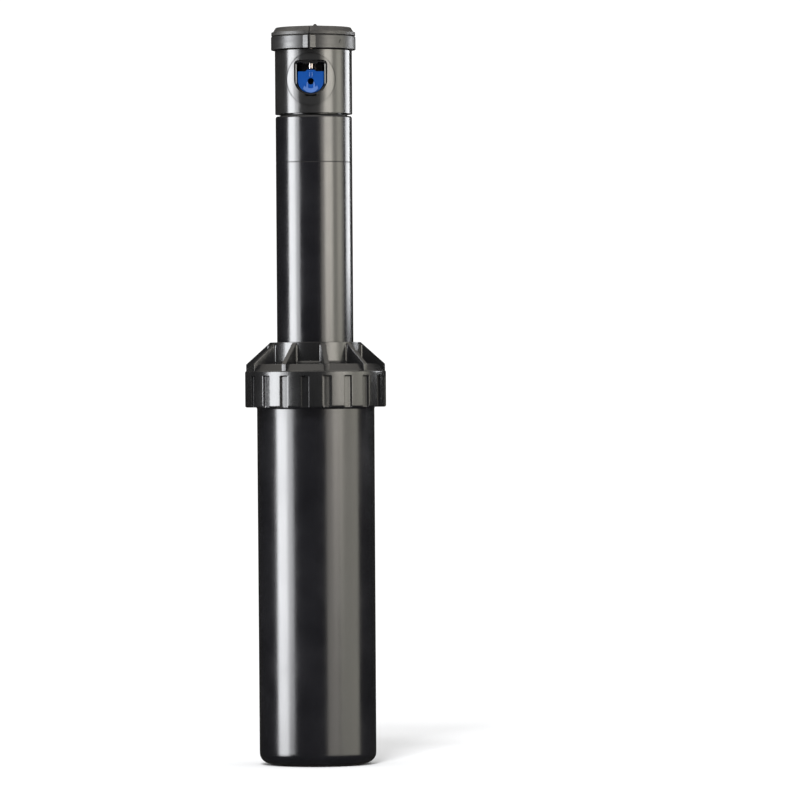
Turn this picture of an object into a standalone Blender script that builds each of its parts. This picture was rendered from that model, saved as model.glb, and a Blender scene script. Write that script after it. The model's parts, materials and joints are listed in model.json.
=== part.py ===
"""Gear-driven pop-up sprinkler, standing with its riser up.

Lengths below are in millimetres and become metres when a piece is added.
Z is up, the base rests on z = 0 and the nozzle looks along -Y.
"""
import math

import bmesh
import bpy
from mathutils import Matrix

MM = 0.001

# Heights below are measured from a datum that lies this far under the foot
SEAT_Z = 1.4

# Body and cap
BODY_R = 25.0
BODY_WALL_R = 22.6
BODY_TOP_Z = 167.5
FOOT_H = 4.6
FOOT_FLAT_R = 19.5
FOOT_ROUND = 5.3
FLOOR_Z = 16.5
KEY_COUNT = 4
KEY_HALF_WIDTH = 1.2
CAP_R = 30.0
CAP_BOTTOM_Z = 153.0
CAP_DECK_Z = 171.3
COLLAR_TOP_Z = 180.6
GRIP_COUNT = 20
GRIP_DEPTH = 1.1
GRIP_HALF_WIDTH = 1.57
GUSSET_COUNT = 10
GUSSET_R = 29.8
GUSSET_HALF_WIDTH = 1.05
RIB_START_DEG = 9.4
CAP_THREAD_PITCH = 2.6
CAP_THREAD_START_Z = 156.0
CAP_THREAD_GAP = 0.5
CAP_THREAD_TURN = [(0.0, 26.0), (0.3, 27.0), (0.65, 27.0)]
INLET_PITCH = 1.814

# Seal, spring and the bore that the riser slides in
SEAL_Z = 166.6
SEAL_R = 21.9
SEAL_LIP_R = 16.6
SPRING_COILS = 7
SPRING_WIRE_R = 0.65
SPRING_R = 19.0
SPRING_LOW_Z = 148.85
SPRING_HIGH_Z = 164.3

# Riser and turret
RISER_R = 16.25
RISER_BORE_R = 14.2
RISER_NECK_R = 13.3
RISER_BOTTOM_Z = 145.0
RISER_TOP_Z = 276.0
PISTON_R = 20.9
TURRET_R = 16.4
TURRET_BOTTOM_Z = 277.6
TURRET_TOP_Z = 304.65
SLEEVE_R = 12.6
SLEEVE_BOTTOM_Z = 259.6
ORIFICE_Z = 291.0
NOZZLE_DEG = -4.7
RIDGE_DEG = -5.6
RING_R = 18.0
RING_Z = 304.95
RING_TOP_Z = 310.6
COVER_R = 17.9
COVER_TOP_Z = 315.8
SCREW_R = 0.93
SCREW_Y = -12.6
SCREW_TIP_Z = 296.0
KEYWAY_R = 1.7
SHAFT_HOLE_R = 1.25

# Inlet end of the riser and the turbine
STRAINER_SLOTS = 10
STATOR_Z = 214.0
TURBINE_Z = 221.4
TURBINE_HUB_R = 3.6
TURBINE_BLADES = 8
GEARBOX_R = 12.1
GEARBOX_BASE_Z = 226.0
GEARBOX_LID_Z = 246.3

# Gear train: 8 teeth drive 24, four times over
GEAR_CENTRES = 5.76
GEAR_MODULE = 0.36
PINION_TEETH = 8
WHEEL_TEETH = 24
GEAR_THICK = 2.8
GEAR_LAYER_Z = [228.6, 232.5, 236.4, 240.3]
POST_A_DEG = 60.0
POST_B_DEG = 120.0
POST_R = 0.4
POST_BORE_R = 0.7

# Arc setting
ARC_MODULE = 0.5
ARC_PINION_TEETH = 8
ARC_RING_TEETH = 32
ARC_GEAR_Z = 255.5
ARC_GEAR_TOP_Z = 258.0
ARC_SHAFT_X = 10.0
LEVER_X = -10.0
LEVER_Z = 248.4

# Facets round a turn
BIG_SIDES = 32
MID_SIDES = 24
SMALL_SIDES = 12


def clear_scene():
    for item in list(bpy.data.objects):
        bpy.data.objects.remove(item, do_unlink=True)


def make_material(name, colour, roughness, metallic=0.0):
    material = bpy.data.materials.new(name)
    material.use_nodes = True
    shader = material.node_tree.nodes["Principled BSDF"]
    shader.inputs["Base Color"].default_value = (*colour, 1.0)
    shader.inputs["Roughness"].default_value = roughness
    shader.inputs["Metallic"].default_value = metallic
    return material


LOOKS = {
    "black_plastic": ((0.016, 0.016, 0.017), 0.3, 0.0),
    "black_rubber": ((0.022, 0.022, 0.022), 0.7, 0.0),
    "blue_plastic": ((0.0, 0.085, 0.46), 0.35, 0.0),
    "white_acetal": ((0.78, 0.77, 0.72), 0.4, 0.0),
    "grey_plastic": ((0.22, 0.23, 0.24), 0.45, 0.0),
    "steel": ((0.62, 0.61, 0.58), 0.3, 1.0),
}


def add_part(name, solid, look, axis=(0.0, 0.0, SEAT_Z), sharp_deg=32.0):
    """Turn a millimetre solid into a named object, foot on the floor, whose origin is on its axis."""
    bmesh.ops.remove_doubles(solid, verts=solid.verts, dist=0.0005)
    bmesh.ops.recalc_face_normals(solid, faces=solid.faces)
    shift = Matrix.Translation([-value for value in axis])
    bmesh.ops.transform(solid, matrix=Matrix.Scale(MM, 4) @ shift, verts=solid.verts)
    mesh = bpy.data.meshes.new(name)
    solid.to_mesh(mesh)
    solid.free()
    mesh.shade_smooth()
    mesh.set_sharp_from_angle(angle=math.radians(sharp_deg))
    item = bpy.data.objects.new(name, mesh)
    item.location = (axis[0] * MM, axis[1] * MM, (axis[2] - SEAT_Z) * MM)
    colour, roughness, metallic = LOOKS[look]
    mesh.materials.append(make_material(name + "_" + look, colour, roughness, metallic))
    bpy.context.scene.collection.objects.link(item)
    return item


def turn_deg(solid, degrees):
    """Turn a solid about Z and hand it back."""
    bmesh.ops.transform(solid, matrix=Matrix.Rotation(math.radians(degrees), 4, "Z"), verts=solid.verts)
    return solid


def move(solid, x=0.0, y=0.0, z=0.0):
    bmesh.ops.translate(solid, verts=solid.verts, vec=(x, y, z))
    return solid


def joined(solids):
    """Put several solids into one bmesh without merging them."""
    whole = bmesh.new()
    for solid in solids:
        mesh = bpy.data.meshes.new("joined")
        solid.to_mesh(mesh)
        solid.free()
        whole.from_mesh(mesh)
        bpy.data.meshes.remove(mesh)
    return whole


def combine(base, tool, operation):
    """Boolean two solids with the exact solver and hand back the result."""
    pair = []
    for solid in (base, tool):
        bmesh.ops.recalc_face_normals(solid, faces=solid.faces)
        mesh = bpy.data.meshes.new("working")
        solid.to_mesh(mesh)
        solid.free()
        item = bpy.data.objects.new("working", mesh)
        bpy.context.scene.collection.objects.link(item)
        pair.append(item)
    modifier = pair[0].modifiers.new("combine", "BOOLEAN")
    modifier.operation = operation
    modifier.solver = "EXACT"
    modifier.object = pair[1]
    graph = bpy.context.evaluated_depsgraph_get()
    mesh = bpy.data.meshes.new_from_object(pair[0].evaluated_get(graph), depsgraph=graph)
    result = bmesh.new()
    result.from_mesh(mesh)
    bpy.data.meshes.remove(mesh)
    for item in pair:
        data = item.data
        bpy.data.objects.remove(item, do_unlink=True)
        bpy.data.meshes.remove(data)
    return result


def cut(base, *tools):
    return combine(base, joined(tools), "DIFFERENCE")


def fuse(base, *tools):
    for tool in tools:
        base = combine(base, tool, "UNION")
    return base


def prism(outline, low, high):
    """Closed (x, y) outline raised from z = low to z = high."""
    solid = bmesh.new()
    bottom = [solid.verts.new((x, y, low)) for x, y in outline]
    top = [solid.verts.new((x, y, high)) for x, y in outline]
    solid.faces.new(bottom)
    solid.faces.new(top)
    for index in range(len(outline)):
        after = (index + 1) % len(outline)
        solid.faces.new((bottom[index], bottom[after], top[after], top[index]))
    bmesh.ops.recalc_face_normals(solid, faces=solid.faces)
    return solid


def box(x_low, x_high, y_low, y_high, z_low, z_high):
    return prism([(x_low, y_low), (x_high, y_low), (x_high, y_high), (x_low, y_high)], z_low, z_high)


def circle(radius, sides, centre=(0.0, 0.0), start_deg=0.0):
    points = []
    for index in range(sides):
        angle = math.radians(start_deg) + 2 * math.pi * index / sides
        points.append((centre[0] + radius * math.cos(angle), centre[1] + radius * math.sin(angle)))
    return points


def rod(radius, low, high, centre=(0.0, 0.0), sides=SMALL_SIDES):
    return prism(circle(radius, sides, centre), low, high)


def facing_prism(outline, y_front, y_back):
    """Closed (x, z) outline run along Y from y_front to y_back."""
    solid = prism(outline, -y_back, -y_front)
    bmesh.ops.transform(solid, matrix=Matrix.Rotation(math.radians(90.0), 4, "X"), verts=solid.verts)
    return solid


def radial_prism(outline, half_width):
    """Closed (r, z) outline standing in the XZ plane, as thick as twice half_width."""
    return facing_prism(outline, -half_width, half_width)


def gear_outline(teeth, module, start_deg):
    """Pointed-root teeth with room to spare, one tooth centred on start_deg."""
    pitch_r = module * teeth / 2
    tip_r = pitch_r + 0.7 * module
    root_r = pitch_r - 1.3 * module
    tip_turn = 0.25 * module / pitch_r
    points = []
    for index in range(teeth):
        angle = math.radians(start_deg) + 2 * math.pi * index / teeth
        for radius, turn in ((root_r, -math.pi / teeth), (tip_r, -tip_turn), (tip_r, tip_turn)):
            points.append((radius * math.cos(angle + turn), radius * math.sin(angle + turn)))
    return points


def lathe(profile, sides, closed=True):
    """Turn (r, z) points about Z. A dict in the list is a helical thread band.

    A closed profile is a ring of material; an open one starts and ends on the axis.
    """
    solid = bmesh.new()

    def make_ring(radius, z):
        if radius == 0:
            return [solid.verts.new((0.0, 0.0, z))]
        return [solid.verts.new((x, y, z)) for x, y in circle(radius, sides)]

    rings = [item if isinstance(item, dict) else make_ring(*item) for item in profile]
    last = len(rings) if closed else len(rings) - 1
    for index in range(last):
        near, far = rings[index], rings[(index + 1) % len(rings)]
        if isinstance(far, dict):
            continue
        if isinstance(near, dict):
            before = rings[index - 1]
            pair = (before, far) if near["rising"] else (far, before)
            thread_band(solid, pair[0], pair[1], near, sides)
            continue
        for step in range(sides):
            after = (step + 1) % sides
            if len(near) == 1 and len(far) == 1:
                break
            if len(near) == 1:
                solid.faces.new((near[0], far[after], far[step]))
            elif len(far) == 1:
                solid.faces.new((near[step], near[after], far[0]))
            else:
                solid.faces.new((near[step], near[after], far[after], far[step]))
    bmesh.ops.recalc_face_normals(solid, faces=solid.faces)
    return solid


def thread_band(solid, lower, upper, thread, sides):
    """Helical thread between two rings, with a blunt start and a blunt end."""
    turn, pitch = thread["turn"], thread["pitch"]
    rows = len(turn)
    count = rows * thread["turns"]
    grid = []
    for step in range(sides):
        column = []
        for row in range(count + 1):
            fraction, radius = turn[row % rows]
            z = thread["start"] + pitch * (row // rows + fraction + step / sides)
            angle = 2 * math.pi * step / sides
            column.append(solid.verts.new((radius * math.cos(angle), radius * math.sin(angle), z)))
        grid.append(column)
    faces = []
    for step in range(sides - 1):
        near, far = grid[step], grid[step + 1]
        faces.append((lower[step], lower[step + 1], far[0], near[0]))
        faces.append((near[count], far[count], upper[step + 1], upper[step]))
        for row in range(count):
            faces.append((near[row], far[row], far[row + 1], near[row + 1]))
    near, far = grid[-1], grid[0]
    for row in range(count - rows):
        faces.append((near[row], far[row + rows], far[row + rows + 1], near[row + 1]))
    faces.append([lower[-1], lower[0]] + far[:rows + 1] + [near[0]])
    last_rows = [near[row] for row in range(count, count - rows - 1, -1)]
    faces.append(last_rows + [far[count], upper[0], upper[-1]])
    made = [solid.faces.new(corners) for corners in faces]
    bmesh.ops.triangulate(solid, faces=made)


def swept_wire(path, radius, sides=6):
    """Round wire along a list of points, closed at both ends."""
    solid = bmesh.new()
    rings = []
    for index, point in enumerate(path):
        before = path[max(index - 1, 0)]
        after = path[min(index + 1, len(path) - 1)]
        along = [after[axis] - before[axis] for axis in range(3)]
        length = math.sqrt(sum(value * value for value in along))
        along = [value / length for value in along]
        flat = math.hypot(along[0], along[1])
        side = (-along[1] / flat, along[0] / flat, 0.0)
        up = (-along[2] * side[1], along[2] * side[0], along[0] * side[1] - along[1] * side[0])
        ring = []
        for corner in range(sides):
            angle = 2 * math.pi * corner / sides
            ring.append(solid.verts.new([
                point[axis] + radius * (math.cos(angle) * side[axis] + math.sin(angle) * up[axis])
                for axis in range(3)]))
        rings.append(ring)
    for near, far in zip(rings, rings[1:]):
        for corner in range(sides):
            after = (corner + 1) % sides
            solid.faces.new((near[corner], near[after], far[after], far[corner]))
    solid.faces.new(rings[0])
    solid.faces.new(rings[-1])
    bmesh.ops.recalc_face_normals(solid, faces=solid.faces)
    return solid


def polar(radius, degrees):
    return radius * math.cos(math.radians(degrees)), radius * math.sin(math.radians(degrees))


# Body pieces

def build_body_case():
    foot = []
    for degrees in (0.0, 22.5, 45.0, 67.5, 90.0):
        angle = math.radians(degrees)
        foot.append((FOOT_FLAT_R + FOOT_ROUND * math.sin(angle), SEAT_Z + FOOT_H * (1.0 - math.cos(angle))))
    outer_thread = {"start": CAP_THREAD_START_Z, "pitch": CAP_THREAD_PITCH, "turns": 2, "rising": True,
                    "turn": CAP_THREAD_TURN}
    inlet_thread = {"start": SEAT_Z + 1.2, "pitch": INLET_PITCH, "turns": 4, "rising": False,
                    "turn": [(0.0, 13.1), (0.5, 12.35)]}
    profile = foot + [
        (BODY_R, CAP_BOTTOM_Z - 0.6), (25.85, CAP_BOTTOM_Z + 1.4), outer_thread,
        (25.85, 164.6), (25.6, BODY_TOP_Z), (BODY_WALL_R, BODY_TOP_Z), (BODY_WALL_R, 10.0),
        (20.6, 5.4), (17.0, 3.2), (14.9, 3.6), (14.9, FLOOR_Z), (9.0, FLOOR_Z), (9.0, 14.8),
        (12.9, 14.8), (13.0, 12.9), inlet_thread, (13.25, SEAT_Z + 0.8), (13.5, SEAT_Z)]
    solid = lathe(profile, BIG_SIDES)
    keys = []
    for index in range(KEY_COUNT):
        key = box(21.4, BODY_WALL_R + 0.8, -KEY_HALF_WIDTH, KEY_HALF_WIDTH, 20.0, 163.0)
        keys.append(turn_deg(key, 45.0 + 360.0 / KEY_COUNT * index))
    add_part("body_case", fuse(solid, *keys), "black_plastic")


def build_body_cap():
    inner_thread = {"start": CAP_THREAD_START_Z, "pitch": CAP_THREAD_PITCH, "turns": 2, "rising": False,
                    "turn": [(fraction, radius + CAP_THREAD_GAP) for fraction, radius in CAP_THREAD_TURN]}
    profile = [
        (27.9, CAP_BOTTOM_Z), (29.6, CAP_BOTTOM_Z), (CAP_R, CAP_BOTTOM_Z + 0.5), (CAP_R, 168.1),
        (29.5, 168.5), (27.5, CAP_DECK_Z), (20.4, 171.9), (19.7, 172.4), (19.6, 180.2), (19.2, COLLAR_TOP_Z),
        (17.7, COLLAR_TOP_Z), (17.3, 180.2), (17.3, 168.9), (26.6, 168.9), (26.6, 164.6),
        inner_thread, (27.65, 154.6)]
    solid = lathe(profile, BIG_SIDES)
    gussets = []
    outline = [(18.6, 170.2), (18.6, 180.2), (19.6, 180.2), (GUSSET_R, CAP_DECK_Z + 0.1),
               (GUSSET_R, 168.2), (28.0, 168.2), (27.5, 170.2)]
    for index in range(GUSSET_COUNT):
        gussets.append(turn_deg(radial_prism(outline, GUSSET_HALF_WIDTH),
                                RIB_START_DEG - 90.0 + 360.0 / GUSSET_COUNT * index))
    solid = fuse(solid, *gussets)
    grooves = []
    for index in range(GRIP_COUNT):
        groove = box(CAP_R - GRIP_DEPTH, CAP_R + 2.0, -GRIP_HALF_WIDTH, GRIP_HALF_WIDTH,
                     CAP_BOTTOM_Z - 1.0, CAP_BOTTOM_Z + 13.3)
        grooves.append(turn_deg(groove, RIB_START_DEG - 90.0 + 360.0 / GRIP_COUNT * index))
    add_part("body_cap", cut(solid, *grooves), "black_plastic")


def build_seals_and_spring():
    lip_top = SEAL_Z + 5.8
    seal = [(18.2, SEAL_Z), (SEAL_R, SEAL_Z), (SEAL_R, SEAL_Z + 1.9), (17.4, SEAL_Z + 1.9),
            (16.95, SEAL_Z + 2.4), (16.95, lip_top - 0.2), (SEAL_LIP_R, lip_top), (SEAL_LIP_R, SEAL_Z + 3.0)]
    add_part("wiper_seal", lathe(seal, MID_SIDES), "black_rubber")
    support_r, support_top = SEAL_LIP_R + 0.1, SEAL_Z - 0.3
    support = [(support_r, 161.5), (17.7, 161.5), (17.7, 164.6), (SEAL_R, 164.6), (SEAL_R, support_top),
               (support_r, support_top)]
    add_part("seal_support_ring", lathe(support, MID_SIDES), "grey_plastic")
    o_ring = circle(0.42, 6, (24.2, BODY_TOP_Z + 0.7), 30.0)
    add_part("body_o_ring", lathe(o_ring, MID_SIDES), "black_rubber")
    per_coil = 14
    low, high = SPRING_LOW_Z + SPRING_WIRE_R, SPRING_HIGH_Z - SPRING_WIRE_R
    steps = SPRING_COILS * per_coil
    path = []
    for index in range(steps + 1):
        angle = 2 * math.pi * index / per_coil
        height = low + (high - low) * index / steps
        path.append((SPRING_R * math.cos(angle), SPRING_R * math.sin(angle), height))
    add_part("retraction_spring", swept_wire(path, SPRING_WIRE_R, 5), "steel", sharp_deg=80.0)


# Riser pieces

def build_riser_tube():
    profile = [
        (16.0, RISER_BOTTOM_Z), (PISTON_R, RISER_BOTTOM_Z), (PISTON_R, RISER_BOTTOM_Z + 3.0),
        (PISTON_R - 0.5, RISER_BOTTOM_Z + 3.5), (RISER_R, RISER_BOTTOM_Z + 3.5),
        (RISER_R, RISER_TOP_Z - 0.4), (RISER_R - 0.4, RISER_TOP_Z), (RISER_NECK_R, RISER_TOP_Z),
        (RISER_NECK_R, 262.1), (RISER_BORE_R, 261.9), (RISER_BORE_R, RISER_BOTTOM_Z + 2.4),
        (16.0, RISER_BOTTOM_Z + 2.4)]
    add_part("riser_tube", lathe(profile, BIG_SIDES), "black_plastic")


def build_ratchet_ring():
    top = RISER_BOTTOM_Z - 0.4
    solid = lathe([(16.6, top - 2.2), (22.2, top - 2.2), (22.2, top), (16.6, top)], BIG_SIDES)
    for vertex in solid.verts:
        if vertex.co.z > top - 0.1:
            step = round(math.degrees(math.atan2(vertex.co.y, vertex.co.x)) * BIG_SIDES / 360.0)
            vertex.co.z -= 0.3 * (step % 3)
    notches = []
    for index in range(KEY_COUNT):
        notch = box(20.9, 24.0, -KEY_HALF_WIDTH - 0.4, KEY_HALF_WIDTH + 0.4, top - 4.0, top + 1.0)
        notches.append(turn_deg(notch, 45.0 + 360.0 / KEY_COUNT * index))
    add_part("ratchet_ring", cut(solid, *notches), "grey_plastic")


def build_strainer():
    profile = [(0, 165.6), (11.6, 165.2), (12.2, 164.2), (12.6, 141.5), (15.7, 141.5), (15.7, 147.0),
               (13.7, 147.0), (13.4, 165.2), (12.6, 166.3), (0, 166.8)]
    solid = lathe(profile, MID_SIDES, closed=False)
    slots = []
    for index in range(STRAINER_SLOTS):
        slots.append(turn_deg(box(10.5, 15.0, -1.0, 1.0, 149.5, 162.5), 360.0 / STRAINER_SLOTS * index))
    add_part("strainer", cut(solid, *slots), "grey_plastic")


def build_turbine():
    plate_top = STATOR_Z + 2.1
    plate = lathe([(0.75, STATOR_Z), (13.8, STATOR_Z), (13.8, plate_top), (0.75, plate_top)], MID_SIDES)
    ports = []
    for index in range(6):
        port = box(7.0, 11.5, -1.3, 1.3, -3.0, 3.0)
        bmesh.ops.transform(port, matrix=Matrix.Rotation(math.radians(35.0), 4, "X"), verts=port.verts)
        ports.append(turn_deg(move(port, z=STATOR_Z + 1.05), 60.0 * index))
    add_part("stator_plate", cut(plate, *ports), "grey_plastic")

    wheel = rod(TURBINE_HUB_R, TURBINE_Z - 3.0, TURBINE_Z + 3.0, sides=MID_SIDES)
    blades = []
    for index in range(TURBINE_BLADES):
        blade = box(TURBINE_HUB_R - 0.4, 11.6, -0.4, 0.4, -2.7, 2.7)
        bmesh.ops.transform(blade, matrix=Matrix.Rotation(math.radians(-28.0), 4, "X"), verts=blade.verts)
        blades.append(turn_deg(move(blade, z=TURBINE_Z), 360.0 / TURBINE_BLADES * index + 4.0))
    wheel = cut(fuse(wheel, *blades), rod(0.78, TURBINE_Z - 4.0, TURBINE_Z + 4.0))
    add_part("turbine_wheel", wheel, "white_acetal", sharp_deg=25.0)
    add_part("turbine_shaft", rod(0.45, STATOR_Z + 0.4, 231.9), "steel", sharp_deg=40.0)
    low = GEAR_LAYER_Z[0]
    pinion = prism(gear_outline(PINION_TEETH, GEAR_MODULE, POST_A_DEG), low, low + GEAR_THICK)
    bore = rod(POST_BORE_R, low - 1, low + GEAR_THICK + 1)
    add_part("turbine_pinion", cut(pinion, bore), "white_acetal", sharp_deg=25.0)


def build_gearbox():
    base, base_top = GEARBOX_BASE_Z, GEARBOX_BASE_Z + 1.6
    lid_gap_z = GEARBOX_LID_Z - 0.3
    profile = [(0.9, base), (12.8, base), (12.8, 216.4), (13.8, 216.4), (13.8, base_top),
               (GEARBOX_R, base_top), (GEARBOX_R, lid_gap_z), (11.0, lid_gap_z), (11.0, base_top),
               (0.9, base_top)]
    solid = lathe(profile, MID_SIDES)
    tools = []
    for index in range(8):
        tools.append(turn_deg(box(12.35, 14.5, -2.2, 2.2, base - 1, base_top + 1), 45.0 * index + 22.5))
    posts = [polar(GEAR_CENTRES, POST_A_DEG), polar(GEAR_CENTRES, POST_B_DEG)]
    for spot in posts:
        tools.append(rod(POST_BORE_R, base - 1, base_top + 1, spot))
    add_part("gearbox_case", cut(solid, *tools), "grey_plastic")

    lid_top = GEARBOX_LID_Z + 1.7
    lever_pin = rod(0.8, lid_top - 0.5, LEVER_Z + 3.9, (LEVER_X, 0.0))
    stop_pin = rod(0.7, lid_top - 0.5, LEVER_Z + 3.6, (LEVER_X + 2.9, -5.4))
    cover = fuse(rod(GEARBOX_R, GEARBOX_LID_Z, lid_top, sides=MID_SIDES), lever_pin, stop_pin)
    tools = [rod(2.6, GEARBOX_LID_Z - 1, lid_top + 1, sides=MID_SIDES)]
    for spot in posts:
        tools.append(rod(POST_BORE_R, GEARBOX_LID_Z - 1, lid_top + 1, spot))
    add_part("gearbox_cover", cut(cover, *tools), "grey_plastic")
    for name, spot in zip(("gear_post_a", "gear_post_b"), posts):
        add_part(name, rod(POST_R, base + 0.5, lid_top - 0.6, spot), "steel", sharp_deg=40.0)


def compound_gear(name, spot, layer, wheel_deg, pinion_deg):
    """A 24-tooth wheel in one layer with its 8-tooth pinion reaching into the next."""
    low = GEAR_LAYER_Z[layer]
    top = GEAR_LAYER_Z[layer + 1] + GEAR_THICK
    wheel = prism(gear_outline(WHEEL_TEETH, GEAR_MODULE, wheel_deg), low, low + GEAR_THICK)
    pinion = prism(gear_outline(PINION_TEETH, GEAR_MODULE, pinion_deg), low + GEAR_THICK - 1, top)
    solid = cut(fuse(wheel, pinion), rod(POST_BORE_R, low - 1, top + 1))
    add_part(name, move(solid, spot[0], spot[1]), "white_acetal", (spot[0], spot[1], low), 25.0)


def build_gear_train():
    half_tooth = 180.0 / WHEEL_TEETH
    spot_a = polar(GEAR_CENTRES, POST_A_DEG)
    spot_b = polar(GEAR_CENTRES, POST_B_DEG)
    compound_gear("gear_stage_1", spot_a, 0, POST_A_DEG + 180.0 + half_tooth, 180.0)
    compound_gear("gear_stage_2", spot_b, 1, half_tooth, 0.0)
    compound_gear("gear_stage_3", spot_a, 2, 180.0 + half_tooth, POST_A_DEG + 180.0)
    low = GEAR_LAYER_Z[3]
    wheel = prism(gear_outline(WHEEL_TEETH, GEAR_MODULE, POST_A_DEG + half_tooth), low, low + GEAR_THICK)
    solid = fuse(wheel, rod(2.2, low + 1, 248.5, sides=MID_SIDES), rod(2.0, 247.5, 251.4, sides=6))
    add_part("output_gear", solid, "white_acetal", sharp_deg=25.0)


# Turret pieces

def build_drive_tube():
    profile = [(0, 249.0), (6.0, 249.0), (6.4, 249.4), (6.4, 289.0), (5.2, 289.0), (5.2, 253.4), (0, 253.4)]
    solid = lathe(profile, MID_SIDES, closed=False)
    tools = [rod(2.4, 248.0, 251.8, sides=6)]
    for index in range(4):
        tools.append(turn_deg(box(4.0, 8.0, -2.4, 2.4, 262.0, 270.0), 90.0 * index))
    add_part("drive_tube", cut(solid, *tools), "grey_plastic")


def window_outline(half_width, low, high, corner):
    """Flat-topped outline with a round bottom, as (x, z) points."""
    points = []
    for degrees in range(180, 361, 20):
        angle = math.radians(degrees)
        points.append((half_width * math.cos(angle), low + half_width + half_width * math.sin(angle)))
    for centre_x, start in ((half_width - corner, 0), (corner - half_width, 90)):
        for degrees in (start, start + 45, start + 90):
            angle = math.radians(degrees)
            points.append((centre_x + corner * math.cos(angle), high - corner + corner * math.sin(angle)))
    return points


def build_turret():
    profile = [
        (0, 289.3), (6.7, 289.3), (6.7, TURRET_BOTTOM_Z), (11.5, TURRET_BOTTOM_Z), (11.5, SLEEVE_BOTTOM_Z),
        (SLEEVE_R, SLEEVE_BOTTOM_Z), (SLEEVE_R, 260.0), (12.1, 260.0), (12.1, 261.8), (SLEEVE_R, 261.8),
        (SLEEVE_R, 268.0), (12.1, 268.0), (12.1, 269.4), (SLEEVE_R, 269.4), (SLEEVE_R, TURRET_BOTTOM_Z),
        (16.1, TURRET_BOTTOM_Z), (TURRET_R, TURRET_BOTTOM_Z + 0.3), (TURRET_R, TURRET_TOP_Z - 0.3),
        (16.1, TURRET_TOP_Z), (14.7, TURRET_TOP_Z), (14.7, 280.4), (8.5, 280.4), (8.5, 303.0), (0, 303.0)]
    solid = lathe(profile, BIG_SIDES, closed=False)
    housing = turn_deg(facing_prism(window_outline(8.6, 282.6, 301.6, 2.0), -18.0, -7.6), NOZZLE_DEG)
    inside = rod(TURRET_R - 0.7, 275.0, 303.5, sides=BIG_SIDES)
    solid = fuse(solid, combine(housing, inside, "INTERSECT"))
    window = turn_deg(facing_prism(window_outline(6.95, 285.1, 299.8, 1.7), -18.0, -7.5), NOZZLE_DEG)
    solid = cut(solid, window)
    passage = facing_prism([(x, z + ORIFICE_Z) for x, z in circle(3.6, SMALL_SIDES)], -8.5, -1.0)
    screw_hole = rod(KEYWAY_R, 298.0, 303.0, (0.0, SCREW_Y))
    shaft_hole = rod(SHAFT_HOLE_R, 277.0, 282.0, (ARC_SHAFT_X, 0.0))
    solid = cut(solid, turn_deg(joined([passage, screw_hole]), NOZZLE_DEG), shaft_hole)
    add_part("turret_housing", solid, "black_plastic")

    o_ring = circle(0.4, 6, (12.72, 268.7), 30.0)
    add_part("turret_o_ring", lathe(o_ring, MID_SIDES), "black_rubber")
    clip = [(12.45, 260.3), (13.8, 260.3), (13.8, 261.5), (12.45, 261.5)]
    add_part("turret_retaining_ring", lathe(clip, MID_SIDES), "steel")
    low, high = RISER_TOP_Z + 0.3, TURRET_BOTTOM_Z - 0.3
    washer = [(13.0, low), (RISER_R - 0.4, low), (RISER_R - 0.4, high), (13.0, high)]
    add_part("turret_washer", lathe(washer, MID_SIDES), "black_rubber")


def build_nozzle():
    half, low, shoulder, hump = 5.55, 285.9, 294.9, 295.6
    outline = []
    for degrees in range(180, 361, 20):
        angle = math.radians(degrees)
        outline.append((half * math.cos(angle), low + half + half * math.sin(angle)))
    outline += [(half, shoulder - 0.6), (half - 0.6, shoulder), (2.3, shoulder), (1.5, hump), (-1.5, hump),
                (-2.3, shoulder), (0.6 - half, shoulder), (-half, shoulder - 0.6)]
    solid = facing_prism(outline, -14.4, -7.9)
    barrel = facing_prism([(x, z + ORIFICE_Z) for x, z in circle(3.2, SMALL_SIDES)], -8.4, -7.0)
    lip = [(-3.3, 289.4), (-2.6, 287.6), (0.0, 286.8), (2.6, 287.6), (3.3, 289.4), (2.4, 288.9),
           (0.0, 288.1), (-2.4, 288.9)]
    solid = fuse(solid, barrel, facing_prism(lip, -15.0, -13.9))
    hole = [(x, z + ORIFICE_Z) for x, z in circle(1.35, SMALL_SIDES, start_deg=7.0)]
    bore = facing_prism(hole, -16.0, -5.0)
    add_part("nozzle", turn_deg(cut(solid, bore), NOZZLE_DEG), "blue_plastic")


def build_retention_screw():
    tip, head, top = SCREW_TIP_Z, SCREW_TIP_Z + 10.8, SCREW_TIP_Z + 12.7
    thread = {"start": tip + 2.6, "pitch": 0.9, "turns": 5, "rising": True, "turn": [(0.0, 1.0), (0.5, 1.3)]}
    profile = [(0, tip), (0.7, tip), (1.0, tip + 0.4), (SCREW_R, tip + 2.3), thread, (SCREW_R, tip + 8.4),
               (SCREW_R, head), (1.9, head), (1.9, top), (0, top)]
    solid = lathe(profile, SMALL_SIDES, closed=False)
    solid = cut(solid, box(-0.3, 0.3, -3.0, 3.0, top - 0.9, top + 1.0))
    turn_deg(move(solid, y=SCREW_Y), NOZZLE_DEG)
    x, y = polar(-SCREW_Y, NOZZLE_DEG - 90.0)
    add_part("retention_screw", solid, "steel", (x, y, tip))


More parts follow.
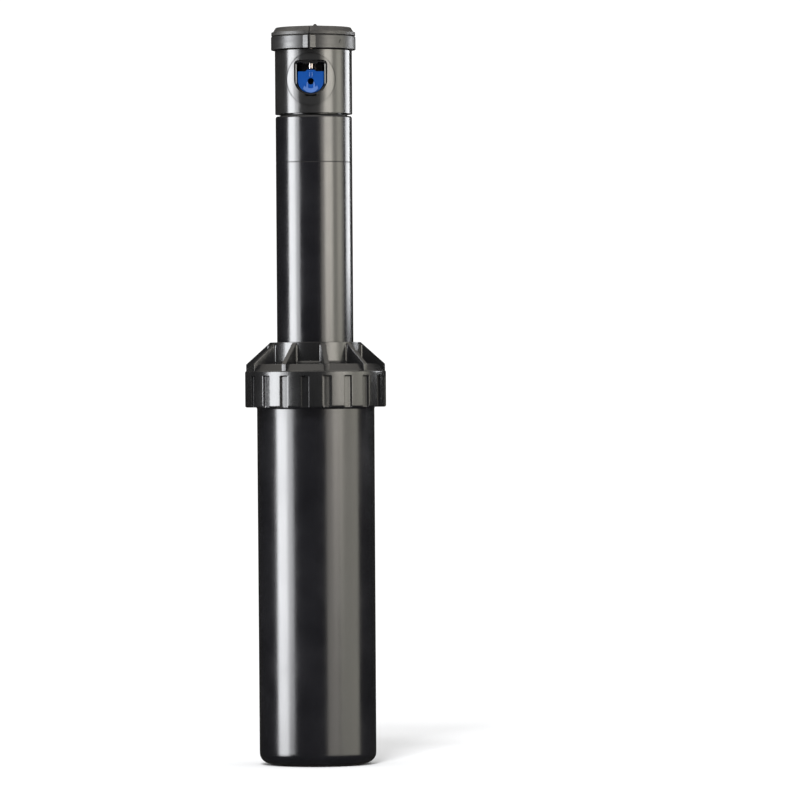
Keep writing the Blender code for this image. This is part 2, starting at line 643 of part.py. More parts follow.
def build_top():
    profile = [(3.0, RING_Z), (17.6, RING_Z), (RING_R, RING_Z + 0.4), (RING_R, RING_TOP_Z - 0.4),
               (17.6, RING_TOP_Z), (16.6, RING_TOP_Z), (16.6, RING_Z + 1.55), (3.0, RING_Z + 1.55)]
    solid = lathe(profile, BIG_SIDES)
    outline = [(-2.8, -17.3), (-0.4, -19.3), (0.4, -19.3), (2.8, -17.3)]
    ridge = prism(outline, RING_Z + 0.15, RING_TOP_Z - 0.3)
    solid = fuse(solid, turn_deg(ridge, RIDGE_DEG))
    screw_hole = turn_deg(rod(KEYWAY_R, 303.0, 308.0, (0.0, SCREW_Y)), NOZZLE_DEG)
    notch = turn_deg(box(-1.05, 1.05, -19.0, -16.0, RING_TOP_Z - 1.9, RING_TOP_Z + 1.4), RIDGE_DEG + 93.0)
    solid = cut(solid, screw_hole, rod(SHAFT_HOLE_R, 303.0, 308.0, (ARC_SHAFT_X, 0.0)), notch)
    add_part("top_ring", solid, "black_plastic")

    top, edge, skirt = COVER_TOP_Z, RING_TOP_Z + 0.3, RING_Z + 2.25
    profile = [(0, top), (0.7, top - 0.25), (1.1, top - 1.0), (9.0, top - 1.25), (15.6, top - 1.7),
               (17.1, top - 3.15), (COVER_R, top - 3.4), (COVER_R, edge), (16.2, edge), (16.2, skirt),
               (15.0, skirt), (15.0, top - 3.8), (0, top - 3.4)]
    add_part("rubber_cover", lathe(profile, BIG_SIDES, closed=False), "black_rubber")


# Arc setting and reversing pieces

def build_arc_parts():
    low, high = ARC_GEAR_Z, ARC_GEAR_TOP_Z
    gear = prism(gear_outline(ARC_RING_TEETH, ARC_MODULE, 180.0 / ARC_RING_TEETH), low, high)
    tab = turn_deg(box(7.0, 11.2, -1.0, 1.0, low - 2.6, low - 0.4), -120.0)
    collar = rod(7.25, low - 2.6, low + 1.0, sides=MID_SIDES)
    solid = cut(fuse(gear, collar, tab), rod(6.75, low - 3.5, high + 1.0, sides=MID_SIDES))
    add_part("arc_stop_ring", solid, "grey_plastic", sharp_deg=25.0)

    pinion = prism(gear_outline(ARC_PINION_TEETH, ARC_MODULE, 180.0), low, high)
    head_top = 309.0
    solid = fuse(pinion, rod(0.9, high - 1.0, head_top - 1.5), rod(1.5, head_top - 2.0, head_top))
    solid = cut(solid, box(-0.3, 0.3, -3.0, 3.0, head_top - 0.9, head_top + 1.0))
    add_part("arc_adjust_shaft", move(solid, x=ARC_SHAFT_X), "grey_plastic", (ARC_SHAFT_X, 0.0, low), 25.0)

    outline = [(-0.7, -6.0), (0.7, -6.0), (0.9, -1.9), (2.4, -0.7), (2.4, 0.7), (0.9, 1.9), (0.7, 6.0),
               (-0.7, 6.0), (-1.9, 1.2), (-1.9, -1.2)]
    lever = cut(prism(outline, LEVER_Z, LEVER_Z + 1.8), rod(1.1, LEVER_Z - 1.0, LEVER_Z + 3.0))
    add_part("trip_lever", move(lever, x=LEVER_X), "white_acetal", (LEVER_X, 0.0, LEVER_Z), 25.0)

    spring_z, per_coil, rise = LEVER_Z + 2.5, 10, 0.085
    path = [(1.7, -6.2, spring_z), (1.65, -3.0, spring_z)]
    for index in range(2 * per_coil + 1):
        angle = 2 * math.pi * index / per_coil
        path.append((1.6 * math.cos(angle), 1.6 * math.sin(angle), spring_z + rise * index))
    path += [(1.5, 3.2, spring_z + 1.6), (1.3, 5.2, spring_z + 1.6)]
    wire = move(swept_wire(path, 0.22, 5), x=LEVER_X)
    add_part("toggle_spring", wire, "steel", sharp_deg=80.0)


clear_scene()
build_body_case()
build_body_cap()
build_seals_and_spring()
build_riser_tube()
build_ratchet_ring()
build_strainer()
build_turbine()
build_gearbox()
build_gear_train()
build_drive_tube()
build_turret()
build_nozzle()
build_retention_screw()
build_top()
build_arc_parts()
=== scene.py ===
"""Looks for the pop-up sprinkler: turned shells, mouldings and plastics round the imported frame.

Shapes are drawn in millimetres, at heights above a datum that lies SEAT_Z under the foot, and
add_piece brings them down to the floor in metres. The nozzle looks along -Y.
"""
import json
import math

import bmesh
import bpy
from mathutils import Matrix, Vector


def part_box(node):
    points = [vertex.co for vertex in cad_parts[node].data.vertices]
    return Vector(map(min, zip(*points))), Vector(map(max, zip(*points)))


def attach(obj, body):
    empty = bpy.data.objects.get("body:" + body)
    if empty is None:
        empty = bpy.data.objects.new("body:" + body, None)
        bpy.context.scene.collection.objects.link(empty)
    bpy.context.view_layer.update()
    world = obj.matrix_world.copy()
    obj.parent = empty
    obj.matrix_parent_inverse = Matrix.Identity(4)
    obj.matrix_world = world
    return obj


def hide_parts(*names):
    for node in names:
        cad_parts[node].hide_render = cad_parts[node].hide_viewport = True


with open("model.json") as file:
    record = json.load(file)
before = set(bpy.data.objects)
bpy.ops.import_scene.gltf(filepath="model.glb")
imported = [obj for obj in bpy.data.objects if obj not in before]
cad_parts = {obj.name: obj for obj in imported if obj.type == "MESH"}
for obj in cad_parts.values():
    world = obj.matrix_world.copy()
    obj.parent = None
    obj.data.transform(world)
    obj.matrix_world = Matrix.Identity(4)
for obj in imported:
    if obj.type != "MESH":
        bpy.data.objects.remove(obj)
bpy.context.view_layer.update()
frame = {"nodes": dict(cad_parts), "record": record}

MM = 0.001
SEAT_Z = 1.4

# Facets round a turn
FINE = 192
MEDIUM = 96
SMALL = 48

# Steps round an outline's corner and across a softened edge
CORNER_STEPS = 3
EDGE_STEPS = 2

# Edges are softened, or shaded as sharp, from these angles on
SOFTEN_DEG = 30.0
SHARP_DEG = 28.0


def span(node):
    """A CAD node's reach along X and its lowest and highest heights, in millimetres."""
    low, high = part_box(node)
    return high[0] / MM, low[2] / MM + SEAT_Z, high[2] / MM + SEAT_Z


# Sizes read from the CAD
_, _, BODY_TOP = span("body_case")
CAP_R, CAP_Z, CAP_TOP = span("body_cap")
_, SEAL_BOTTOM, SEAL_TOP = span("wiper_seal")
_, RISER_BOTTOM, RISER_TOP = span("riser_tube")
_, WASHER_BOTTOM, WASHER_TOP = span("turret_washer")
TURRET_R, _, TURRET_TOP = span("turret_housing")
_, RING_Z, RING_TOP = span("top_ring")
COVER_R, COVER_BOTTOM, COVER_TOP = span("rubber_cover")
_, SCREW_TIP, _ = span("retention_screw")

# Body
BODY_R = 25.0
BODY_WALL_R = 22.6
FOOT_H = 4.6
FOOT_FLAT_R = 19.5
FOOT_ROUND = 5.3
NECK_R = 25.85
FLOOR_Z = 16.5
KEY_COUNT = 4
KEY_HALF_WIDTH = 1.2
INLET_PITCH = 1.814

# Cap, and the thread it shares with the body
DECK_Z = CAP_Z + 18.3
GRIP_COUNT = 20
GRIP_DEPTH = 1.1
GRIP_TOP = CAP_Z + 13.3
GRIP_FLANK_DEG = (2.75, 3.45)
SKIRT_INNER_R = 28.5
GUSSET_COUNT = 10
GUSSET_R = 29.8
GUSSET_HALF_WIDTH = 1.05
RIB_START_DEG = 9.4
CAP_THREAD_PITCH = 2.6
CAP_THREAD_START = CAP_Z + 3.0
CAP_THREAD_TURNS = 2
CAP_THREAD_TURN = [(0.0, 26.0), (0.3, 27.0), (0.65, 27.0)]
CAP_THREAD_GAP = 0.5

# Riser, turret and ring
PISTON_R = 20.9
RISER_R = 16.25
RISER_BORE_R = 14.2
RISER_NECK_R = 13.3
TURRET_BOTTOM = WASHER_TOP + 0.3
TURRET_WALL_R = 14.7
SLEEVE_R = 12.6
SLEEVE_BOTTOM = 259.6
RING_R = 18.0
NOZZLE_DEG = -4.7
RIDGE_DEG = -5.6
SCREW_Y = -12.6
SCREW_HOLE_R = 1.7
SHAFT_X = 10.0
SHAFT_HOLE_R = 1.25

# Nozzle window, and the flatter pad that a round seam sets off in the turret's face
WINDOW_HALF = 6.95
WINDOW_LOW = 285.1
WINDOW_HIGH = 299.8
WINDOW_CORNER_R = 1.7
ORIFICE_Z = 291.0
SEAM_Z = 291.9
SEAM_HALF_X = 10.2
SEAM_HALF_Z = 11.1
PAD_R = TURRET_R + 1.1
PAD_SHIFT = math.sqrt(PAD_R ** 2 - SEAM_HALF_X ** 2) - math.sqrt(TURRET_R ** 2 - SEAM_HALF_X ** 2)


# Outlines, in millimetres

def polar(radius, angle, centre=(0.0, 0.0)):
    return centre[0] + radius * math.cos(angle), centre[1] + radius * math.sin(angle)


def even_angles(sides):
    return [2 * math.pi * index / sides for index in range(sides)]


def circle(radius, sides, centre=(0.0, 0.0)):
    return [polar(radius, angle, centre) for angle in even_angles(sides)]


def arc(radius, start_deg, sweep_deg, steps, centre):
    degrees = [start_deg + sweep_deg * step / steps for step in range(steps + 1)]
    return [polar(radius, math.radians(value), centre) for value in degrees]


def quarter_turn(steps):
    """(sine, cosine) pairs at even steps through a right angle."""
    angles = [math.pi / 2 * step / steps for step in range(steps + 1)]
    return [(math.sin(angle), math.cos(angle)) for angle in angles]


def raised(points, height):
    """Lift (radius, z) points by a height."""
    return [(radius, height + z) for radius, z in points]


def mirrored(points):
    """Points on one side of the middle, led by their mirror images on the other side."""
    return [(-x, y) for x, y in reversed(points)] + points


def upright(points, y):
    """Stand (x, z) points in the plane at y."""
    return [(x, y, z) for x, z in points]


def rounded(points, closed=True):
    """Round each (a, b, radius) corner of an outline with a curve of short straight steps."""
    outline = []
    count = len(points)
    for index, point in enumerate(points):
        here = Vector(point[:2])
        radius = point[2] if len(point) > 2 else 0.0
        at_end = not closed and index in (0, count - 1)
        if radius == 0.0 or at_end:
            outline.append(tuple(here))
            continue
        to_before = Vector(points[index - 1][:2]) - here
        to_after = Vector(points[(index + 1) % count][:2]) - here
        half = to_before.angle(to_after) / 2
        reach = min(radius / math.tan(half), to_before.length * 0.49, to_after.length * 0.49)
        start = here + to_before.normalized() * reach
        end = here + to_after.normalized() * reach
        for step in range(CORNER_STEPS + 1):
            share = step / CORNER_STEPS
            blend = start.lerp(here, share).lerp(here.lerp(end, share), share)
            outline.append(tuple(blend))
    return outline


# Solids, in millimetres

def thread(start, pitch, turns, rising, turn):
    """Thread for a lathe profile, which runs up past it where it is rising, and down elsewhere.

    turn holds the outline of one turn, as (share of the pitch, radius) points.
    """
    return {"start": start, "pitch": pitch, "turns": turns, "rising": rising, "turn": turn}


def lathe(profile, angles, closed=True):
    """Turn (radius, z) points about Z at the given angles. A dict is a helical thread band."""
    solid = bmesh.new()
    sides = len(angles)

    def make_ring(radius, z):
        if radius == 0:
            return [solid.verts.new((0.0, 0.0, z))]
        return [solid.verts.new((*polar(radius, angle), z)) for angle in angles]

    rings = [item if isinstance(item, dict) else make_ring(*item) for item in profile]
    last = len(rings) if closed else len(rings) - 1
    for index in range(last):
        near, far = rings[index], rings[(index + 1) % len(rings)]
        if isinstance(far, dict):
            continue
        if isinstance(near, dict):
            before = rings[index - 1]
            pair = (before, far) if near["rising"] else (far, before)
            thread_band(solid, pair[0], pair[1], near, angles)
            continue
        for step in range(sides):
            after = (step + 1) % sides
            if len(near) == 1 and len(far) == 1:
                break
            if len(near) == 1:
                solid.faces.new((near[0], far[after], far[step]))
            elif len(far) == 1:
                solid.faces.new((near[step], near[after], far[0]))
            else:
                solid.faces.new((near[step], near[after], far[after], far[step]))
    bmesh.ops.recalc_face_normals(solid, faces=solid.faces)
    return solid


def thread_band(solid, lower, upper, band, angles):
    """Helical thread between two rings, with a blunt start and a blunt end."""
    turn, pitch = band["turn"], band["pitch"]
    rows = len(turn)
    count = rows * band["turns"]
    grid = []
    for angle in angles:
        column = []
        for row in range(count + 1):
            fraction, radius = turn[row % rows]
            z = band["start"] + pitch * (row // rows + fraction + angle / (2 * math.pi))
            column.append(solid.verts.new((*polar(radius, angle), z)))
        grid.append(column)
    faces = []
    for step in range(len(angles) - 1):
        near, far = grid[step], grid[step + 1]
        faces.append((lower[step], lower[step + 1], far[0], near[0]))
        faces.append((near[count], far[count], upper[step + 1], upper[step]))
        for row in range(count):
            faces.append((near[row], far[row], far[row + 1], near[row + 1]))
    near, far = grid[-1], grid[0]
    for row in range(count - rows):
        faces.append((near[row], far[row + rows], far[row + rows + 1], near[row + 1]))
    faces.append([lower[-1], lower[0]] + far[:rows + 1] + [near[0]])
    blunt_end = [near[row] for row in range(count, count - rows - 1, -1)]
    faces.append(blunt_end + [far[count], upper[0], upper[-1]])
    made = [solid.faces.new(corners) for corners in faces]
    bmesh.ops.triangulate(solid, faces=made)


def loft(loops, closed=False):
    """Skin loops with equal point counts, and fill both ends or join the last to the first."""
    solid = bmesh.new()
    rows = [[solid.verts.new(point) for point in loop] for loop in loops]
    count = len(rows[0])
    following = rows[1:] + (rows[:1] if closed else [])
    for near, far in zip(rows, following):
        for index in range(count):
            after = (index + 1) % count
            solid.faces.new((near[index], near[after], far[after], far[index]))
    if not closed:
        solid.faces.new(rows[0])
        solid.faces.new(rows[-1])
    bmesh.ops.recalc_face_normals(solid, faces=solid.faces)
    return solid


def prism(outline, low, high):
    """An (x, y) outline run up Z."""
    return loft([[(x, y, low) for x, y in outline], [(x, y, high) for x, y in outline]])


def facing_prism(outline, y_front, y_back):
    """An (x, z) outline run along Y."""
    return loft([upright(outline, y_front), upright(outline, y_back)])


def box(x_low, x_high, y_low, y_high, z_low, z_high):
    corners = [(x_low, y_low), (x_high, y_low), (x_high, y_high), (x_low, y_high)]
    return prism(corners, z_low, z_high)


def rod(radius, low, high, centre=(0.0, 0.0), sides=SMALL):
    return prism(circle(radius, sides, centre), low, high)


def facing_rod(radius, y_front, y_back, z):
    return facing_prism(circle(radius, SMALL, (0.0, z)), y_front, y_back)


def soften(solid, width):
    """Round every sharp edge of a solid."""
    limit = math.radians(SOFTEN_DEG)
    edges = [edge for edge in solid.edges
             if len(edge.link_faces) == 2 and edge.calc_face_angle(0.0) > limit]
    bmesh.ops.bevel(solid, geom=edges, offset=width, offset_type="OFFSET", segments=EDGE_STEPS,
                    profile=0.5, affect="EDGES", clamp_overlap=True)
    return solid


def turn_deg(solid, degrees):
    turn = Matrix.Rotation(math.radians(degrees), 4, "Z")
    bmesh.ops.transform(solid, matrix=turn, verts=solid.verts)
    return solid


def move(solid, x=0.0, y=0.0):
    bmesh.ops.translate(solid, verts=solid.verts, vec=(x, y, 0.0))
    return solid


def to_mesh(name, solid):
    """Hand a bmesh over to a new mesh."""
    mesh = bpy.data.meshes.new(name)
    solid.to_mesh(mesh)
    solid.free()
    return mesh


def to_object(name, data):
    item = bpy.data.objects.new(name, data)
    bpy.context.scene.collection.objects.link(item)
    return item


def joined(solids):
    """Put several solids into one bmesh without merging them."""
    whole = bmesh.new()
    for solid in solids:
        mesh = to_mesh("joined", solid)
        whole.from_mesh(mesh)
        bpy.data.meshes.remove(mesh)
    return whole


def spread_round(make, count, start_deg):
    """Copies of a solid spread evenly about Z, in one bmesh."""
    degrees = [start_deg + 360.0 / count * index for index in range(count)]
    return joined([turn_deg(make(), value) for value in degrees])


def combine(base, tool, operation):
    """Boolean two solids with the exact solver and hand back the result."""
    pair = []
    for solid in (base, tool):
        bmesh.ops.recalc_face_normals(solid, faces=solid.faces)
        pair.append(to_object("working", to_mesh("working", solid)))
    modifier = pair[0].modifiers.new("combine", "BOOLEAN")
    modifier.operation = operation
    modifier.solver = "EXACT"
    modifier.object = pair[1]
    graph = bpy.context.evaluated_depsgraph_get()
    mesh = bpy.data.meshes.new_from_object(pair[0].evaluated_get(graph), depsgraph=graph)
    result = bmesh.new()
    result.from_mesh(mesh)
    bpy.data.meshes.remove(mesh)
    for item in pair:
        data = item.data
        bpy.data.objects.remove(item, do_unlink=True)
        bpy.data.meshes.remove(data)
    return result


def cut(base, *tools):
    return combine(base, joined(tools), "DIFFERENCE")


def fuse(base, *tools):
    for tool in tools:
        base = combine(base, tool, "UNION")
    return base


def add_piece(name, solid, body, nodes, material):
    """Make the solid a piece that rides on a body in place of its CAD nodes."""
    bmesh.ops.recalc_face_normals(solid, faces=solid.faces)
    to_floor = Matrix.Translation((0.0, 0.0, -SEAT_Z))
    bmesh.ops.transform(solid, matrix=Matrix.Scale(MM, 4) @ to_floor, verts=solid.verts)
    mesh = to_mesh(name, solid)
    mesh.shade_smooth()
    mesh.set_sharp_from_angle(angle=math.radians(SHARP_DEG))
    mesh.materials.append(material)
    item = to_object(name, mesh)
    weighted = item.modifiers.new("weighted_normals", "WEIGHTED_NORMAL")
    weighted.keep_sharp = True
    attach(item, body)
    if nodes:
        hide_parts(*nodes)


# Materials

# Sockets of a Mix node, which share their names between its kinds
MIX_SHARE = 0
NUMBER_FIRST, NUMBER_SECOND, NUMBER_RESULT = 2, 3, 0
COLOUR_FIRST, COLOUR_SECOND, COLOUR_RESULT = 6, 7, 2

# Heights of the surface grain, in metres
FINE_GRAIN = 0.00002
LINE_GRAIN = 0.00003
COARSE_GRAIN = 0.00005


def scaled(colour, factor, lift=0.0):
    """A colour multiplied and lifted, and held at or below white."""
    return tuple(min(value * factor + lift, 1.0) for value in colour)


class Shader:
    """A node tree round one Principled BSDF, with short calls for the nodes used below."""

    def __init__(self, name):
        self.material = bpy.data.materials.new(name)
        self.material.use_nodes = True
        self.tree = self.material.node_tree
        self.surface = self.tree.nodes["Principled BSDF"]
        self.place = self.tree.nodes.new("ShaderNodeTexCoord").outputs["Object"]

    def stretched(self, scale):
        mapping = self.tree.nodes.new("ShaderNodeMapping")
        mapping.inputs["Scale"].default_value = scale
        self.tree.links.new(self.place, mapping.inputs["Vector"])
        return mapping.outputs["Vector"]

    def noise(self, scale, detail=4.0, stretch=(1.0, 1.0, 1.0), roughness=0.55):
        node = self.tree.nodes.new("ShaderNodeTexNoise")
        node.inputs["Scale"].default_value = scale
        node.inputs["Detail"].default_value = detail
        node.inputs["Roughness"].default_value = roughness
        self.tree.links.new(self.stretched(stretch), node.inputs["Vector"])
        return node.outputs["Fac"]

    def ramp(self, source, stops):
        """Stops are (position, value) or (position, (r, g, b))."""
        node = self.tree.nodes.new("ShaderNodeValToRGB")
        elements = node.color_ramp.elements
        while len(elements) < len(stops):
            elements.new(0.5)
        for element, (position, value) in zip(elements, stops):
            element.position = position
            colour = value if isinstance(value, tuple) else (value, value, value)
            element.color = (*colour, 1.0)
        self.tree.links.new(source, node.inputs["Fac"])
        return node.outputs["Color"]

    def mix(self, share, first, second):
        """Mix two colours; each value may be a number, a colour or a socket."""
        node = self.tree.nodes.new("ShaderNodeMix")
        node.data_type = "RGBA"
        for index, value in ((MIX_SHARE, share), (COLOUR_FIRST, first), (COLOUR_SECOND, second)):
            socket = node.inputs[index]
            if isinstance(value, (int, float)):
                socket.default_value = value
            elif isinstance(value, tuple):
                socket.default_value = (*value, 1.0)
            else:
                self.tree.links.new(value, socket)
        return node.outputs[COLOUR_RESULT]

    def times(self, source, factor):
        node = self.tree.nodes.new("ShaderNodeMath")
        node.operation = "MULTIPLY"
        self.tree.links.new(source, node.inputs[0])
        node.inputs[1].default_value = factor
        return node.outputs["Value"]

    def bump(self, height, strength, distance, below=None):
        node = self.tree.nodes.new("ShaderNodeBump")
        node.inputs["Strength"].default_value = strength
        node.inputs["Distance"].default_value = distance
        self.tree.links.new(height, node.inputs["Height"])
        if below is not None:
            self.tree.links.new(below, node.inputs["Normal"])
        return node.outputs["Normal"]

    def wire(self, name, source):
        self.tree.links.new(source, self.surface.inputs[name])

    def set(self, name, value):
        self.surface.inputs[name].default_value = value


def moulded_plastic(name, colour, low_rough, high_rough, streaks=0.3, grain=0.25, specular=0.5):
    """Injection-moulded plastic: drawn streaks up the part, fine grain and flecks of dust."""
    shader = Shader(name)
    streak = shader.noise(1400.0, 3.0, (1.0, 1.0, 0.03))
    grain_noise = shader.noise(5200.0, 2.0)
    cloud = shader.noise(45.0, 3.0)
    fleck_noise = shader.noise(900.0, 6.0, roughness=0.7)
    fleck = shader.ramp(fleck_noise, [(0.0, 0.0), (0.68, 0.0), (0.76, 1.0)])
    base = shader.ramp(cloud, [(0.3, scaled(colour, 0.82)), (0.7, scaled(colour, 1.22, 0.0025))])
    dust = scaled(colour, 1.1, 0.035)
    shader.wire("Base Color", shader.mix(shader.times(fleck, 0.35), base, dust))
    wear = shader.mix(streaks, cloud, streak)
    shader.wire("Roughness", shader.ramp(wear, [(0.35, low_rough), (0.7, high_rough)]))
    shader.set("Specular IOR Level", specular)
    fine = shader.bump(grain_noise, grain, FINE_GRAIN)
    shader.wire("Normal", shader.bump(streak, streaks * 0.25, FINE_GRAIN, fine))
    return shader.material


def ribbed_plastic(name, colour):
    """Plastic turned with fine level lines, a little dusty."""
    shader = Shader(name)
    line = shader.noise(1500.0, 3.0, (0.03, 0.03, 1.0))
    cloud = shader.noise(60.0, 4.0)
    grain = shader.noise(4200.0, 2.0)
    base = shader.ramp(cloud, [(0.3, scaled(colour, 0.7)), (0.7, scaled(colour, 1.6))])
    shader.wire("Base Color", base)
    wear = shader.mix(0.5, cloud, line)
    shader.wire("Roughness", shader.ramp(wear, [(0.35, 0.3), (0.7, 0.46)]))
    fine = shader.bump(grain, 0.3, FINE_GRAIN)
    shader.wire("Normal", shader.bump(line, 0.3, LINE_GRAIN, fine))
    return shader.material


def dull_rubber(name, colour):
    """Black rubber with brown dust held in its fine grain."""
    shader = Shader(name)
    cloud = shader.noise(120.0, 6.0, roughness=0.65)
    grain = shader.noise(2200.0, 4.0)
    base = shader.ramp(cloud, [(0.3, scaled(colour, 0.7)), (0.72, scaled(colour, 1.7))])
    dust = shader.ramp(shader.mix(0.45, cloud, grain), [(0.42, 0.0), (0.62, 1.0)])
    brown = (0.13, 0.11, 0.085)
    shader.wire("Base Color", shader.mix(shader.times(dust, 0.3), base, brown))
    shader.wire("Roughness", shader.ramp(grain, [(0.3, 0.38), (0.7, 0.6)]))
    shader.wire("Normal", shader.bump(grain, 0.45, COARSE_GRAIN))
    return shader.material


def drawn_steel(name, colour):
    """Bare steel with fine scratches drawn along it."""
    shader = Shader(name)
    scratch = shader.noise(2400.0, 4.0, (1.0, 1.0, 0.08))
    cloud = shader.noise(300.0, 3.0)
    shader.wire("Base Color", shader.ramp(cloud, [(0.3, scaled(colour, 0.8)), (0.7, colour)]))
    shader.wire("Roughness", shader.ramp(scratch, [(0.3, 0.16), (0.7, 0.36)]))
    shader.set("Metallic", 1.0)
    shader.wire("Normal", shader.bump(scratch, 0.2, FINE_GRAIN))
    return shader.material


def floor_paper(name):
    shader = Shader(name)
    grain = shader.noise(600.0, 4.0)
    shader.wire("Base Color", shader.ramp(grain, [(0.3, 0.965), (0.7, 0.985)]))
    shader.set("Roughness", 0.9)
    shader.set("Specular IOR Level", 0.0)
    return shader.material


BLACK = moulded_plastic("black_moulded_plastic", (0.0085, 0.0085, 0.0105), 0.16, 0.25)
BLACK_CAP = moulded_plastic(
    "black_ribbed_plastic", (0.012, 0.012, 0.0125), 0.18, 0.28, streaks=0.15, grain=0.45)
BLACK_TURRET = moulded_plastic(
    "black_turret_plastic", (0.02, 0.0197, 0.0197), 0.16, 0.25, streaks=0.25, grain=0.35)
BLACK_RING = ribbed_plastic("black_ring_plastic", (0.019, 0.0185, 0.0185))
RUBBER = dull_rubber("black_rubber", (0.02, 0.02, 0.021))
# Black rubber, painted darker than the other plastics and given a duller reflection as painted
# shade in the gap under the turret
WASHER_SHADE_RUBBER = moulded_plastic(
    "black_washer_rubber_and_shade", (0.006, 0.006, 0.006), 0.5, 0.65, streaks=0.1, grain=0.4, specular=0.15)
BLUE = moulded_plastic(
    "blue_nozzle_plastic", (0.0, 0.064, 0.31), 0.34, 0.46, streaks=0.1, grain=0.4, specular=0.2)
LIGHT_BLUE = moulded_plastic(
    "blue_nozzle_marks", (0.06, 0.155, 0.45), 0.35, 0.5, streaks=0.1, grain=0.4)
STEEL = drawn_steel("drawn_steel", (0.42, 0.37, 0.34))
# Pale grey used as a painted highlight: the glints along the window's straight edges
PALE_GREY_HIGHLIGHT = moulded_plastic(
    "pale_grey_painted_highlight", (0.45, 0.45, 0.43), 0.3, 0.42, streaks=0.1, grain=0.3)
GREY = moulded_plastic(
    "grey_internal_plastic", (0.20, 0.21, 0.22), 0.38, 0.52, streaks=0.15, grain=0.4)
ACETAL = moulded_plastic(
    "white_gear_acetal", (0.76, 0.75, 0.70), 0.32, 0.44, streaks=0.1, grain=0.3)

INNER_LOOKS = {
    "black_plastic": BLACK, "black_rubber": RUBBER, "blue_plastic": BLUE,
    "grey_plastic": GREY, "white_acetal": ACETAL, "steel": STEEL}


# Pieces

def build_body():
    foot = [(14.8, SEAT_Z), (FOOT_FLAT_R, SEAT_Z)]
    for sine, cosine in quarter_turn(12)[1:]:
        foot.append((FOOT_FLAT_R + FOOT_ROUND * sine, SEAT_Z + FOOT_H * (1.0 - cosine)))
    shoulder_z = CAP_Z - 0.6
    wall = [(24.82, 6.8), (BODY_R, shoulder_z - 0.3), (BODY_R, shoulder_z),
            (NECK_R, CAP_Z + 1.4)]
    neck_thread = thread(
        CAP_THREAD_START, CAP_THREAD_PITCH, CAP_THREAD_TURNS, True, CAP_THREAD_TURN)
    socket_r, inlet_r, socket_roof = 14.9, 9.0, 14.8
    inside = rounded([
        (NECK_R, CAP_Z + 11.6), (NECK_R, BODY_TOP, 0.4), (BODY_WALL_R, BODY_TOP, 0.3),
        (BODY_WALL_R, 10.0, 4.0), (20.6, 5.4, 2.0), (17.0, 3.2, 1.0), (socket_r, 3.6, 0.5),
        (socket_r, FLOOR_Z, 0.5), (inlet_r, FLOOR_Z, 0.3), (inlet_r, socket_roof, 0.3),
        (12.9, socket_roof, 0.2), (13.0, 12.9)], closed=False)
    inlet_thread = thread(
        SEAT_Z + 1.2, INLET_PITCH, 4, False, [(0.0, 13.1), (0.45, 12.4), (0.55, 12.4)])
    mouth = [(13.25, SEAT_Z + 0.8), (13.5, SEAT_Z + 0.05), (13.6, SEAT_Z)]
    profile = foot + wall + [neck_thread] + inside + [inlet_thread] + mouth

    def make_key():
        """Upright rib that stands out from the body's inner wall."""
        key_r, key_low, key_high = 21.4, 20.0, 163.0
        return box(key_r, BODY_WALL_R + 0.8, -KEY_HALF_WIDTH, KEY_HALF_WIDTH, key_low, key_high)

    solid = fuse(lathe(profile, even_angles(FINE)), spread_round(make_key, KEY_COUNT, 45.0))
    add_piece("body_shell", solid, "body", ["body_case"], BLACK)


def grip_angles():
    """Angles round the cap, crowded where the grip grooves start and stop."""
    pitch = 360.0 / GRIP_COUNT
    aside = (1.2, 2.5, 2.85, 3.1, 3.35, 3.7, 4.6, 6.0, 7.5)
    steps = [-pitch / 2, *(-step for step in aside), 0.0, *aside]
    angles = []
    for index in range(GRIP_COUNT):
        for step in steps:
            angles.append(math.radians((RIB_START_DEG - 90.0 + pitch * index + step) % 360.0))
    return sorted(angles)


def smooth_step(low, high, value):
    share = min(max((value - low) / (high - low), 0.0), 1.0)
    return share * share * (3.0 - 2.0 * share)


def press_grips(solid):
    """Press the grip grooves into the cap's skirt; they run out at GRIP_TOP."""
    pitch = 360.0 / GRIP_COUNT
    for vertex in solid.verts:
        radius = math.hypot(vertex.co.x, vertex.co.y)
        if radius < SKIRT_INNER_R or vertex.co.z > GRIP_TOP + 0.4:
            continue
        degrees = math.degrees(math.atan2(vertex.co.y, vertex.co.x)) + 90.0 - RIB_START_DEG
        off_centre = abs((degrees + pitch / 2) % pitch - pitch / 2)
        depth = GRIP_DEPTH * (1.0 - smooth_step(*GRIP_FLANK_DEG, off_centre))
        depth *= 1.0 - smooth_step(GRIP_TOP - 0.4, GRIP_TOP + 0.15, vertex.co.z)
        new_radius = min(radius, max(CAP_R - depth, SKIRT_INNER_R))
        vertex.co.x *= new_radius / radius
        vertex.co.y *= new_radius / radius


def make_gusset():
    """Fin that runs from the cap's collar down over its deck, with fillets at the collar."""
    top_z, root_z, skirt_z = 180.25, 170.4, 168.2
    outline = [(18.6, root_z), (18.6, top_z), (19.75, top_z), (GUSSET_R, 171.3),
               (GUSSET_R, skirt_z), (28.0, skirt_z), (27.5, root_z)]
    fin = soften(facing_prism(outline, -GUSSET_HALF_WIDTH, GUSSET_HALF_WIDTH), 0.22)
    fillet_r, centre_x, centre_y = 0.9, 1.95, -20.6
    half_root = [(centre_x, -18.7)]
    for sine, cosine in quarter_turn(6):
        half_root.append((centre_x - fillet_r * sine, centre_y + fillet_r * cosine))
    root = prism(mirrored(half_root[::-1]), 171.0, 179.3)
    return fuse(fin, turn_deg(root, 90.0))


